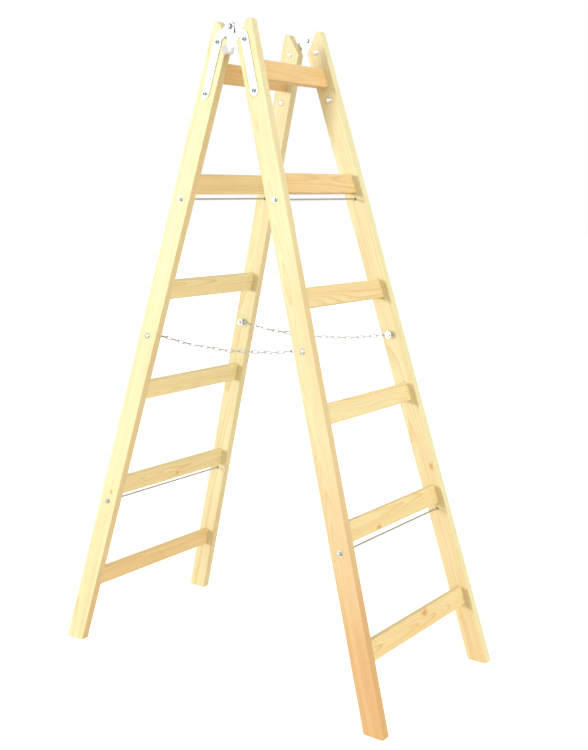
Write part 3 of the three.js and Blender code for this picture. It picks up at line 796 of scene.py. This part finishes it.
def chain(side_name):
    name = f"chain_{side_name}"
    layers = [centre(f"{name}_{half}_lower").x for half in HALVES]
    line_x = sum(layers) / 2
    pivots = {}
    for half in HALVES:
        upper = joint_place(f"{name}_{half}_upper")
        lower = joint_place(f"{name}_{half}_lower")
        back = (upper - lower).normalized() * M6["shank"]
        pivots[half] = (upper + back, lower)
    middle = joint_place(f"{name}_middle")
    far = Vector((0, -middle.y, middle.z))
    count = LINKS_PER_STRAND
    # The middle link turns about the end wires of its neighbours, so that none cuts into another.
    wire = LINK_WIRE / 2
    strand(f"{name}_front_upper", *pivots["front"], 0, count, line_x)
    strand(f"{name}_front_lower", pivots["front"][1], middle, count, count, line_x, spare=wire)
    strand(f"{name}_middle", middle, far, 2 * count, 1, line_x, stretch=LINK_WIRE)
    strand(f"{name}_rear_upper", *pivots["rear"], 0, count, line_x)
    strand(f"{name}_rear_lower", pivots["rear"][1], far, count, count, line_x, spare=wire)


for side_name in SIDES:
    chain(side_name)


# ---- Floor, light and camera -----------------------------------------------------------------
FLOOR_TONE = (0.93, 0.83, 0.71, 1)  # warm, as the light that the floor throws back is
FLOOR_GLOW = 0.55  # keeps the studio floor as white as the room behind it
FLOOR_HALF = 30.0
ROOM_BASE = 0.585
SOFTBOX = 0.60  # a broad white panel on the left and behind, which the metal mirrors
SOFTBOX_FROM = Vector((-0.80, 0.58, 0.12)).normalized()
KEY = {"energy": 1.55, "spread": 8, "from": (-0.88, 0.38, 0.10)}
FILL = {"energy": 2.02, "spread": 60, "from": (-0.20, -0.85, 0.50)}


def studio_floor():
    bm = bmesh.new()
    bmesh.ops.create_grid(bm, x_segments=4, y_segments=4, size=FLOOR_HALF)
    mesh = to_mesh("studio_floor", bm)
    f = Finish("studio_floor")
    place = f.node("TexCoord").outputs["Object"]
    f.shader.inputs["Base Color"].default_value = FLOOR_TONE
    f.shader.inputs["Emission Color"].default_value = (1, 1, 1, 1)
    glow = f.math("MULTIPLY", f.seen_directly(), FLOOR_GLOW)
    f.feed(f.shader.inputs["Emission Strength"], glow)
    f.feed(f.shader.inputs["Roughness"], f.span(f.noise(place, (3, 3, 3)), 0.0, 1.0, 0.28, 0.36))
    mesh.materials.append(f.material)
    made = bpy.data.objects.new("studio_floor", mesh)
    bpy.context.scene.collection.objects.link(made)


def lamp(name, energy, spread, source):
    data = bpy.data.lights.new(name, "SUN")
    data.energy = energy
    data.angle = math.radians(spread)
    made = bpy.data.objects.new(name, data)
    made.rotation_euler = Vector(source).to_track_quat("Z", "Y").to_euler()
    bpy.context.scene.collection.objects.link(made)


def studio_light():
    """A white room with a bright panel on the left, a key lamp there and a soft fill in front."""
    world = bpy.data.worlds.new("studio")
    bpy.context.scene.world = world
    world.use_nodes = True
    n = Nodes(world.node_tree)
    direction = n.node("TexCoord").outputs["Generated"]
    facing = n.math("MAXIMUM", n.vector("DOT_PRODUCT", direction, SOFTBOX_FROM), 0.0)
    panel = n.math("MULTIPLY", n.math("POWER", facing, 2.0), SOFTBOX)
    lit = n.node("Background", {"Strength": n.math("ADD", panel, ROOM_BASE)})
    seen = n.node("Background", {"Color": (1, 1, 1, 1), "Strength": 1.0})
    mix = n.node("MixShader", {0: n.seen_directly(), 1: lit.outputs[0], 2: seen.outputs[0]})
    n.node("OutputWorld", {"Surface": mix.outputs[0]})
    lit.inputs["Color"].default_value = (1, 1, 1, 1)
    lamp("key", KEY["energy"], KEY["spread"], KEY["from"])
    lamp("fill", FILL["energy"], FILL["spread"], FILL["from"])


CAMERA_PLACE = Vector((-2.420, -1.838, 1.300))
CAMERA_YAW = math.radians(53.91)  # clockwise from +Y
CAMERA_PITCH = math.radians(-9.33)
CAMERA_LENS = 67.86  # on a 36 mm wide sensor


def camera():
    data = bpy.data.cameras.new("camera")
    data.sensor_fit = "HORIZONTAL"
    data.sensor_width = 36.0
    data.lens = CAMERA_LENS
    data.clip_end = 200.0
    made = bpy.data.objects.new("camera", data)
    made.location = CAMERA_PLACE
    made.rotation_euler = (math.pi / 2 + CAMERA_PITCH, 0, -CAMERA_YAW)
    bpy.context.scene.collection.objects.link(made)
    bpy.context.scene.camera = made


studio_floor()
studio_light()
camera()
scene = bpy.context.scene
scene.view_settings.view_transform = "Standard"
scene.view_settings.look = "None"
